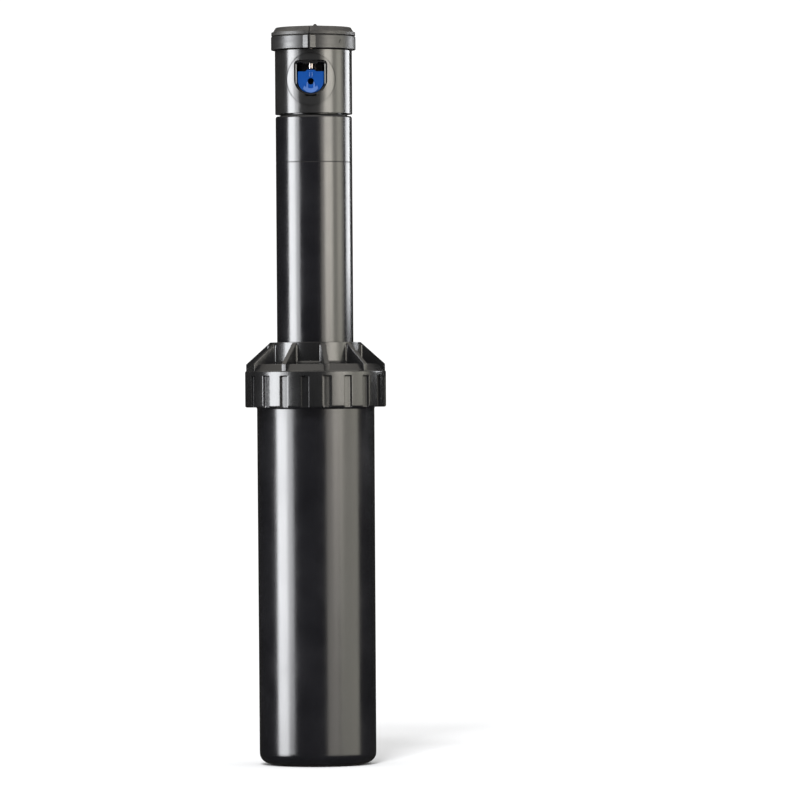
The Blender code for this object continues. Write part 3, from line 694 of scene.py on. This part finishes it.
def build_cap():
    edge_z, under_z = CAP_Z + 0.9, CAP_Z + 15.9
    skirt = [(28.2, CAP_Z), (29.2, CAP_Z), (29.6, CAP_Z + 0.08), (29.85, CAP_Z + 0.25),
             (29.96, CAP_Z + 0.5), (CAP_R, edge_z)]
    rows = 7
    for step in range(1, rows + 1):
        skirt.append((CAP_R, edge_z + (GRIP_TOP - 1.4 - CAP_Z) * step / rows))
    skirt += [(CAP_R, GRIP_TOP + rise) for rise in (-0.35, -0.2, -0.05, 0.1, 0.3)]
    bore_r, inner_r = 17.3, 26.6
    upper = rounded([
        (CAP_R, GRIP_TOP + 0.5), (CAP_R, CAP_Z + 15.1, 0.5), (29.45, CAP_Z + 15.5, 0.3),
        (27.5, DECK_Z, 0.7), (20.4, DECK_Z + 0.5, 0.6), (19.75, DECK_Z + 1.3, 0.3),
        (19.6, CAP_TOP, 0.35), (bore_r, CAP_TOP, 0.35), (bore_r, under_z, 0.3),
        (inner_r, under_z, 0.3), (inner_r, CAP_Z + 11.6)], closed=False)
    inner_turn = [(share, radius + CAP_THREAD_GAP) for share, radius in CAP_THREAD_TURN]
    inner_thread = thread(
        CAP_THREAD_START, CAP_THREAD_PITCH, CAP_THREAD_TURNS, False, inner_turn)
    mouth = [(27.65, CAP_Z + 1.6), (28.0, CAP_Z + 0.2)]
    solid = lathe(skirt + upper + [inner_thread] + mouth, grip_angles())
    press_grips(solid)
    solid = fuse(solid, spread_round(make_gusset, GUSSET_COUNT, RIB_START_DEG - 90.0))
    add_piece("cap_shell", solid, "body", ["body_cap"], BLACK_CAP)


def build_riser():
    piston_top, inlet_z, inlet_r = RISER_BOTTOM + 3.5, RISER_BOTTOM + 2.4, 16.0
    seam_z, seam_half, seam_depth = RISER_TOP - 19.0, 0.16, 0.12
    rim_z, rim_inner_r, rim_bevel = RISER_TOP + 0.6, 14.7, 0.35
    profile = rounded([
        (inlet_r, RISER_BOTTOM, 0.2), (PISTON_R, RISER_BOTTOM, 0.4),
        (PISTON_R, piston_top, 0.5), (RISER_R, piston_top, 0.6),
        (RISER_R, seam_z - seam_half, 0.06), (RISER_R - seam_depth, seam_z, 0.05),
        (RISER_R, seam_z + seam_half, 0.06),
        (RISER_R, rim_z - 0.6, 0.1), (RISER_R - rim_bevel, rim_z, 0.1),
        (rim_inner_r, rim_z, 0.15), (rim_inner_r, RISER_TOP, 0.15),
        (RISER_NECK_R, RISER_TOP, 0.3), (RISER_NECK_R, 262.1, 0.3), (RISER_BORE_R, 261.9, 0.2),
        (RISER_BORE_R, inlet_z, 0.2), (inlet_r, inlet_z, 0.2)])
    tube = lathe(profile, even_angles(FINE))
    add_piece("riser_shell", tube, "riser", ["riser_tube"], BLACK)


def build_rubber_rings():
    """The washer under the turret, and the seal that wipes the riser."""
    inner_r, outer_r = 13.0, 14.3
    washer = rounded([
        (inner_r, WASHER_BOTTOM, 0.1), (outer_r, WASHER_BOTTOM, 0.2),
        (outer_r, WASHER_TOP, 0.2), (inner_r, WASHER_TOP, 0.1)])
    ring = lathe(washer, even_angles(FINE))
    add_piece("washer_ring", ring, "riser", ["turret_washer"], WASHER_SHADE_RUBBER)
    low, high = SEAL_BOTTOM, SEAL_TOP
    seal_r, lip_outer_r, lip_inner_r = 21.9, 16.95, 16.6
    seal = rounded([
        (18.2, low, 0.2), (seal_r, low, 0.3), (seal_r, low + 1.9, 0.3), (17.4, low + 1.9, 0.3),
        (lip_outer_r, low + 2.4, 0.2), (lip_outer_r, high - 0.1, 0.15), (lip_inner_r, high, 0.1),
        (lip_inner_r, low + 3.0, 0.4)])
    ring = lathe(seal, even_angles(FINE))
    add_piece("seal_ring", ring, "body", ["wiper_seal"], RUBBER)


def window_outline(grow=0.0):
    """Flat-topped window with a round bottom, grown outwards by a small amount."""
    half, corner = WINDOW_HALF + grow, WINDOW_CORNER_R + grow
    low, high = WINDOW_LOW - grow, WINDOW_HIGH + grow
    bottom = arc(half, 180.0, 180.0, 24, (0.0, low + half))
    right = arc(corner, 0.0, 90.0, 6, (half - corner, high - corner))
    left = arc(corner, 90.0, 90.0, 6, (corner - half, high - corner))
    return bottom + right + left


def ellipse(half_x, half_z):
    """Outline of the round seam in the turret's face, as (x, z) points."""
    return [(x * half_x, SEAM_Z + z * half_z) for x, z in circle(1.0, MEDIUM)]


def on_pad(points, depth):
    """Lay (x, z) points at a depth under the flatter pad round the window."""
    return [(x, PAD_SHIFT - math.sqrt(PAD_R ** 2 - x ** 2) + depth, z) for x, z in points]


def pad_rod(radius):
    """Rod about the pad's own axis, taller than the turret."""
    return rod(radius, 270.0, 312.0, (0.0, PAD_SHIFT), sides=FINE)


def turret_walls():
    """The turned shell with its hollow post, and the block that the window is cut in."""
    bottom, top = TURRET_BOTTOM, TURRET_TOP
    post_bore_r, post_roof, post_r, post_top = 6.7, 289.3, 8.5, 303.0
    sleeve_bore_r, groove_r, floor_z = 11.5, 12.1, 280.4
    grooves = []
    for groove_low, groove_high in ((260.0, 261.8), (268.0, 269.4)):
        grooves += [(SLEEVE_R, groove_low), (groove_r, groove_low),
                    (groove_r, groove_high), (SLEEVE_R, groove_high)]
    profile = [(0, post_roof)] + rounded([
        (post_bore_r, post_roof), (post_bore_r, bottom), (sleeve_bore_r, bottom),
        (sleeve_bore_r, SLEEVE_BOTTOM, 0.1), (SLEEVE_R, SLEEVE_BOTTOM, 0.1), *grooves,
        (SLEEVE_R, bottom), (TURRET_R, bottom, 0.2), (TURRET_R, top, 0.25),
        (TURRET_WALL_R, top, 0.2), (TURRET_WALL_R, floor_z),
        (post_r, floor_z), (post_r, post_top)], closed=False) + [(0, post_top)]
    walls = lathe(profile, even_angles(FINE), closed=False)
    block_half, block_middle, growth = 8.6, 292.4, 0.2
    outline = [(x * block_half / WINDOW_HALF, z + (z - block_middle) * growth)
               for x, z in window_outline()]
    inside_wall = rod(TURRET_R - 0.6, 275.0, 306.0, sides=FINE)
    block = combine(facing_prism(outline, -18.0, -7.6), inside_wall, "INTERSECT")
    return fuse(walls, turn_deg(block, NOZZLE_DEG))


def turret_dashes():
    """Small raised dashes on the turret, above and below the seam."""
    dashes = []
    for z in (SEAM_Z + SEAM_HALF_Z + 0.55, SEAM_Z - SEAM_HALF_Z - 0.75):
        dash = box(-1.9, 1.1, -TURRET_R - 0.1, -TURRET_R + 0.6, z - 0.12, z + 0.12)
        dashes.append(soften(dash, 0.05))
    return dashes


def seam_groove():
    """Thin oval ring that reaches a little under the pad, to be cut from the turret."""
    outwards, inwards, depth = 0.22, 0.16, 0.22
    seam = facing_prism(ellipse(SEAM_HALF_X + outwards, SEAM_HALF_Z + outwards), -20.0, -10.0)
    core = facing_prism(ellipse(SEAM_HALF_X - inwards, SEAM_HALF_Z - inwards), -21.0, -9.0)
    seam = cut(seam, core)
    return cut(seam, pad_rod(PAD_R - depth))


def build_turret():
    solid = turret_walls()
    for dash in turret_dashes():
        solid = fuse(solid, turn_deg(dash, NOZZLE_DEG))
    above_pad = facing_prism(ellipse(SEAM_HALF_X, SEAM_HALF_Z), -20.0, -10.0)
    above_pad = cut(above_pad, pad_rod(PAD_R))
    window = loft([
        upright(window_outline(0.5), -19.0), on_pad(window_outline(0.22), -0.04),
        on_pad(window_outline(0.14), 0.02), on_pad(window_outline(0.04), 0.1),
        on_pad(window_outline(), 0.24), upright(window_outline(), -7.5)])
    for tool in (above_pad, window):
        solid = cut(solid, turn_deg(tool, NOZZLE_DEG))
    boss = box(-3.0, 3.0, -14.8, -10.5, WINDOW_HIGH - 1.3, WINDOW_HIGH + 0.5)
    solid = fuse(solid, turn_deg(boss, NOZZLE_DEG))
    slot = soften(box(-2.5, 2.5, -18.0, -13.6, WINDOW_LOW - 0.5, WINDOW_LOW + 1.5), 0.2)
    passage = facing_rod(3.6, -8.5, -1.0, ORIFICE_Z)
    screw_hole = rod(SCREW_HOLE_R, 298.0, 303.0, (0.0, SCREW_Y))
    for tool in (seam_groove(), slot, joined([passage, screw_hole])):
        solid = cut(solid, turn_deg(tool, NOZZLE_DEG))
    solid = cut(solid, rod(SHAFT_HOLE_R, 277.0, 282.0, (SHAFT_X, 0.0)))
    add_piece("turret_shell", solid, "turret", ["turret_housing"], BLACK_TURRET)


def build_liner():
    """Dark sleeve that lines the window, and the two pale strips that edge its straight sides,
    whose pale grey is a painted highlight.
    """
    inner, outer, back, rim_depth = window_outline(-0.7), window_outline(-0.1), -8.4, 1.3
    solid = loft([
        upright(outer, back), on_pad(outer, rim_depth + 0.2),
        on_pad(window_outline(-0.2), rim_depth), on_pad(window_outline(-0.6), rim_depth),
        on_pad(inner, rim_depth + 0.2), upright(inner, back)], closed=True)
    solid = cut(solid, rod(SCREW_HOLE_R, 298.0, 303.0, (0.0, SCREW_Y)))
    turn_deg(solid, NOZZLE_DEG)
    add_piece("window_liner", solid, "turret", [], BLACK_RING)
    # The strips' pale grey is a painted highlight along the window's sides
    strips = []
    strip_x, half_width = 6.15, 0.16
    for side in (-1.0, 1.0):
        middle = side * strip_x
        strip = box(middle - half_width, middle + half_width, -15.2, -14.0, 289.9, 298.3)
        strips.append(soften(strip, 0.08))
    solid = turn_deg(joined(strips), NOZZLE_DEG)
    add_piece("window_highlight_strips", solid, "turret", [], PALE_GREY_HIGHLIGHT)


def build_nozzle():
    front, back = -14.4, -7.9
    half, low, shoulder, hump = 5.55, 285.9, 295.2, 295.9
    bottom = arc(half, 180.0, 180.0, 24, (0.0, low + half))
    top = rounded([
        (half, shoulder, 0.6), (2.3, shoulder, 0.3), (1.5, hump, 0.3), (-1.5, hump, 0.3),
        (-2.3, shoulder, 0.3), (-half, shoulder, 0.6)], closed=False)
    solid = soften(facing_prism(bottom + top, front, back), 0.25)
    solid = fuse(solid, facing_rod(3.2, back - 0.5, -7.0, ORIFICE_Z))
    mouth, throat, tail = (
        circle(radius, SMALL, (0.0, ORIFICE_Z)) for radius in (1.75, 1.35, 1.9))
    bore = loft([upright(mouth, -16.0), upright(throat, front + 0.3), upright(tail, -5.0)])
    solid = turn_deg(cut(solid, bore), NOZZLE_DEG)
    add_piece("nozzle_body", solid, "turret", ["nozzle"], BLUE)
    solid = turn_deg(joined(nozzle_marks(front)), NOZZLE_DEG)
    add_piece("nozzle_marks", solid, "turret", [], LIGHT_BLUE)


def nozzle_marks(front):
    """A crescent, two prongs and two ribs, raised from the nozzle's face."""
    sunk = front + 0.4
    crescent = arc(3.85, 214.0, 112.0, 12, (0.0, 290.0))
    crescent += arc(3.7, 318.0, -96.0, 12, (0.0, 291.7))
    marks = [soften(facing_prism(crescent, front - 0.55, sunk), 0.12)]
    low, high = 287.8, 290.8
    for side in (-1.0, 1.0):
        prong = [(side * 1.05, low), (side * 2.05, low), (side * 1.6, high), (side * 1.2, high)]
        marks.append(soften(facing_prism(prong, front - 0.5, sunk), 0.12))
    low, high, half_width = 292.9, 294.9, 0.18
    for x in (-0.45, 0.65):
        left, right = x - half_width, x + half_width
        rib = [(left, low), (right, low), (right, high), (left, high)]
        marks.append(soften(facing_prism(rib, front - 0.3, sunk), 0.08))
    return marks


def build_screw():
    tip = SCREW_TIP
    core_r, point_r, head_low_r, head_r, head_top_r = 0.93, 1.08, 1.75, 1.9, 1.7
    point = [(0, 0.0), (0.6, 0.02), (0.9, 0.2), (point_r, 0.5), (point_r, 2.2), (core_r, 2.35)]
    screw_thread = thread(tip + 2.6, 0.9, 5, True, [(0.0, 1.0), (0.4, 1.3), (0.6, 1.3)])
    head = [(core_r, 8.4), (core_r, 10.8), (head_low_r, 10.8), (head_r, 10.95), (head_r, 12.5),
            (head_top_r, 12.7), (0, 12.7)]
    profile = raised(point, tip) + [screw_thread] + raised(head, tip)
    solid = lathe(profile, even_angles(SMALL), closed=False)
    solid = cut(solid, box(-0.3, 0.3, -3.0, 3.0, tip + 11.8, tip + 14.0))
    solid = cut(solid, box(-0.05, 0.4, -2.0, -0.3, tip + 0.5, tip + 2.4))
    solid = turn_deg(move(solid, y=SCREW_Y), NOZZLE_DEG)
    add_piece("screw_shell", solid, "screw", ["retention_screw"], STEEL)


def build_ring():
    low, high = RING_Z + 0.1, RING_TOP - 0.15
    inner_r, wall_r, web_z = 3.0, 16.6, RING_Z + 1.6
    profile = rounded([
        (inner_r, RING_Z, 0.2), (RING_R, RING_Z, 0.35), (RING_R, RING_TOP, 0.4),
        (wall_r, RING_TOP, 0.25), (wall_r, web_z, 0.3), (inner_r, web_z, 0.2)])
    solid = lathe(profile, even_angles(FINE))
    ridge = prism(mirrored([(0.55, -19.25), (2.8, -17.85), (2.85, -17.2)]), low, high)
    solid = fuse(solid, turn_deg(soften(ridge, 0.18), RIDGE_DEG))
    mark = soften(facing_prism([(-0.75, 307.2), (0.75, 307.2), (0.0, 308.7)], -18.28, -17.2), 0.08)
    solid = fuse(solid, turn_deg(mark, RIDGE_DEG + 45.0))
    slit = prism([(-0.3, -20.0), (0.3, -20.0), (0.16, -17.9), (-0.16, -17.9)],
                 low - 1.0, high + 1.0)
    notch = box(-1.05, 1.05, -19.0, -16.0, RING_TOP - 1.9, RING_TOP + 2.0)
    screw_hole = rod(SCREW_HOLE_R, 303.0, 308.0, (0.0, SCREW_Y))
    shaft_hole = rod(SHAFT_HOLE_R, 303.0, 308.0, (SHAFT_X, 0.0))
    solid = cut(solid, turn_deg(slit, RIDGE_DEG), turn_deg(notch, RIDGE_DEG + 93.0),
                turn_deg(screw_hole, NOZZLE_DEG), shaft_hole)
    add_piece("ring_shell", solid, "turret", ["top_ring"], BLACK_RING)


def build_cover():
    top, bottom = COVER_TOP, COVER_BOTTOM
    edge = bottom + 3.7
    crown_z, crown_drop, crown_r, crown_steps = top - 0.5, 1.15, 15.6, 12
    shoulder_r, plug_r, plug_inner_r = 15.95, 16.2, 15.0
    profile = [(0, crown_z)]
    for step in range(1, crown_steps + 1):
        share = step / crown_steps
        profile.append((crown_r * step / crown_steps, crown_z - crown_drop * share ** 2))
    profile += rounded([
        (crown_r, crown_z - crown_drop), (shoulder_r, crown_z - 0.75, 0.3),
        (17.1, top - 3.15, 0.3), (17.85, top - 3.35, 0.25), (COVER_R, edge, 0.3),
        (plug_r, edge, 0.15), (plug_r, bottom, 0.2), (plug_inner_r, bottom, 0.2),
        (plug_inner_r, top - 3.8, 0.4)], closed=False)[1:]
    profile += [(0, top - 3.4)]
    solid = lathe(profile, even_angles(FINE), closed=False)
    nub_r, nub_top, nub_low = 0.85, top + 0.4, crown_z - 0.5
    nub = [(0, nub_top)]
    for sine, cosine in quarter_turn(5)[1:]:
        nub.append((nub_r * sine, crown_z + (nub_top - crown_z) * cosine))
    nub += [(0.95, nub_low), (0, nub_low)]
    solid = fuse(solid, move(lathe(nub, even_angles(SMALL), closed=False), x=0.8))
    slit = turn_deg(box(-0.17, 0.17, -19.0, -14.4, edge - 1.0, top), RIDGE_DEG)
    key_cuts = []
    half_long, half_thin, key_y, key_low = 1.6, 0.14, -11.3, top - 2.4
    for degrees in (NOZZLE_DEG, 90.0):
        across = box(-half_long, half_long, -half_thin, half_thin, key_low, top)
        along = box(-half_thin, half_thin, -half_long, half_long, key_low, top)
        key_cuts.append(turn_deg(move(fuse(across, along), y=key_y), degrees))
    solid = cut(solid, slit, *key_cuts)
    add_piece("cover_shell", solid, "turret", ["rubber_cover"], RUBBER)


def dress_inner_nodes():
    """Give every CAD node a worked material, from its record slot."""
    slots = {entry["node"]: entry["material_slot"] for entry in frame["record"]["subparts"]}
    for name, node in frame["nodes"].items():
        material = INNER_LOOKS[slots[name]]
        if not node.material_slots:
            node.data.materials.append(material)
        for holder in node.material_slots:
            holder.material = material


# Studio, in metres

COOL, WARM, OLIVE = (0.96, 0.975, 1.0), (1.0, 0.95, 0.86), (1.0, 0.97, 0.84)
WHITE = (1.0, 1.0, 1.0)
LIGHTS_LOW, LIGHTS_TOP = -0.2, 0.56

# Name, azimuth, distance, width, lowest and highest points, radiance, colour
GLOSS_LIGHTS = (
    ("left_softbox", -64.4, 1.0, 0.69, -0.06, LIGHTS_TOP, 9.8, COOL),
    ("left_core", -70.1, 1.0, 0.43, LIGHTS_LOW, LIGHTS_TOP, 11.0, COOL),
    ("right_fill", 32.0, 1.3, 0.56, LIGHTS_LOW, LIGHTS_TOP, 3.0, WARM),
    ("right_key", 43.0, 1.25, 0.44, 0.05, LIGHTS_TOP, 2.8, WARM),
    ("right_key_upper", 44.0, 1.2, 0.60, 0.2, LIGHTS_TOP, 6.0, WARM),
    ("right_panel", 68.0, 1.3, 1.05, LIGHTS_LOW, LIGHTS_TOP, 3.1, OLIVE),
    ("right_panel_upper", 86.0, 1.3, 0.62, 0.19, LIGHTS_TOP, 2.3, OLIVE),
    ("rim_strip", 122.0, 0.6, 0.25, 0.205, 0.38, 9.5, COOL))
SHADOW_LIGHT = ("shadow_light", -10.0, 1.5, 0.4, 1.5, 2.1, 58.0, COOL)

FLOOR_R = 0.6
FLOOR_DROP = 0.0003

LENS_MM = 264.2
CAMERA_DISTANCE = 2.5
CAMERA_HEIGHT = 0.1544
AIM_X = 0.0359
ROLL_DEG = -0.39


def build_floor():
    solid = bmesh.new()
    solid.faces.new([solid.verts.new((x, y, -FLOOR_DROP)) for x, y in circle(FLOOR_R, FINE)])
    mesh = to_mesh("floor", solid)
    mesh.materials.append(floor_paper("floor_paper"))
    floor = to_object("floor", mesh)
    floor.visible_glossy = False


def add_light(name, azimuth_deg, distance, width, low, high, radiance, colour):
    """Upright softbox round the object, out of the camera's sight.

    Azimuth 0 is the camera's side, and grows towards the camera's right.
    """
    light = bpy.data.lights.new(name, "AREA")
    light.shape = "RECTANGLE"
    light.size = width
    light.size_y = high - low
    light.energy = radiance * math.pi * width * (high - low)
    light.color = colour
    item = to_object(name, light)
    angle = math.radians(azimuth_deg)
    place = Vector((math.sin(angle) * distance, -math.cos(angle) * distance, (low + high) / 2))
    item.location = place
    item.rotation_mode = "QUATERNION"
    item.rotation_quaternion = Vector((-place.x, -place.y, 0.0)).to_track_quat("-Z", "Y")
    item.visible_camera = False
    return item


def build_lights():
    """Softboxes seen only in reflections, and a light from above that casts the shadow."""
    for settings in GLOSS_LIGHTS:
        add_light(*settings).visible_diffuse = False
    add_light(*SHADOW_LIGHT).visible_glossy = False


def map_range(tree, source, ends):
    node = tree.nodes.new("ShaderNodeMapRange")
    for name, value in ends.items():
        node.inputs[name].default_value = value
    tree.links.new(source, node.inputs["Value"])
    return node.outputs["Result"]


def build_world():
    """White surroundings to the eye, but dark walls and a pale ceiling in reflections."""
    world = bpy.data.worlds.new("studio")
    world.use_nodes = True
    world.cycles.sampling_method = "NONE"
    tree = world.node_tree
    background = tree.nodes["Background"]
    rays = tree.nodes.new("ShaderNodeLightPath").outputs
    tint = tree.nodes.new("ShaderNodeMix")
    tint.data_type = "RGBA"
    tint.inputs[COLOUR_FIRST].default_value = (*WHITE, 1.0)
    tint.inputs[COLOUR_SECOND].default_value = (*WARM, 1.0)
    tree.links.new(rays["Is Glossy Ray"], tint.inputs[MIX_SHARE])
    tree.links.new(tint.outputs[COLOUR_RESULT], background.inputs["Color"])
    direction = tree.nodes.new("ShaderNodeSeparateXYZ")
    coordinates = tree.nodes.new("ShaderNodeTexCoord").outputs["Generated"]
    tree.links.new(coordinates, direction.inputs[0])
    ceiling = map_range(
        tree, direction.outputs["Z"],
        {"From Min": 0.45, "From Max": 0.9, "To Min": 0.03, "To Max": 1.5})
    seen = map_range(tree, rays["Is Camera Ray"], {"To Min": 0.8, "To Max": 1.1})
    level = tree.nodes.new("ShaderNodeMix")
    level.data_type = "FLOAT"
    tree.links.new(rays["Is Glossy Ray"], level.inputs[MIX_SHARE])
    tree.links.new(seen, level.inputs[NUMBER_FIRST])
    tree.links.new(ceiling, level.inputs[NUMBER_SECOND])
    tree.links.new(level.outputs[NUMBER_RESULT], background.inputs["Strength"])
    bpy.context.scene.world = world


def build_camera():
    camera = bpy.data.cameras.new("camera")
    camera.sensor_width = 36.0
    camera.lens = LENS_MM
    item = to_object("camera", camera)
    item.location = (0.0, -CAMERA_DISTANCE, CAMERA_HEIGHT)
    pan = -math.atan2(AIM_X, CAMERA_DISTANCE)
    upright_pose = Matrix.Rotation(pan, 3, "Z") @ Matrix.Rotation(math.radians(90.0), 3, "X")
    roll = Matrix.Rotation(math.radians(ROLL_DEG), 3, "Z")
    item.rotation_euler = (upright_pose @ roll).to_euler()
    bpy.context.scene.camera = item
    bpy.context.scene.view_settings.view_transform = "Standard"


build_body()
build_cap()
build_riser()
build_rubber_rings()
build_turret()
build_liner()
build_nozzle()
build_screw()
build_ring()
build_cover()
dress_inner_nodes()
build_floor()
build_lights()
build_world()
build_camera()
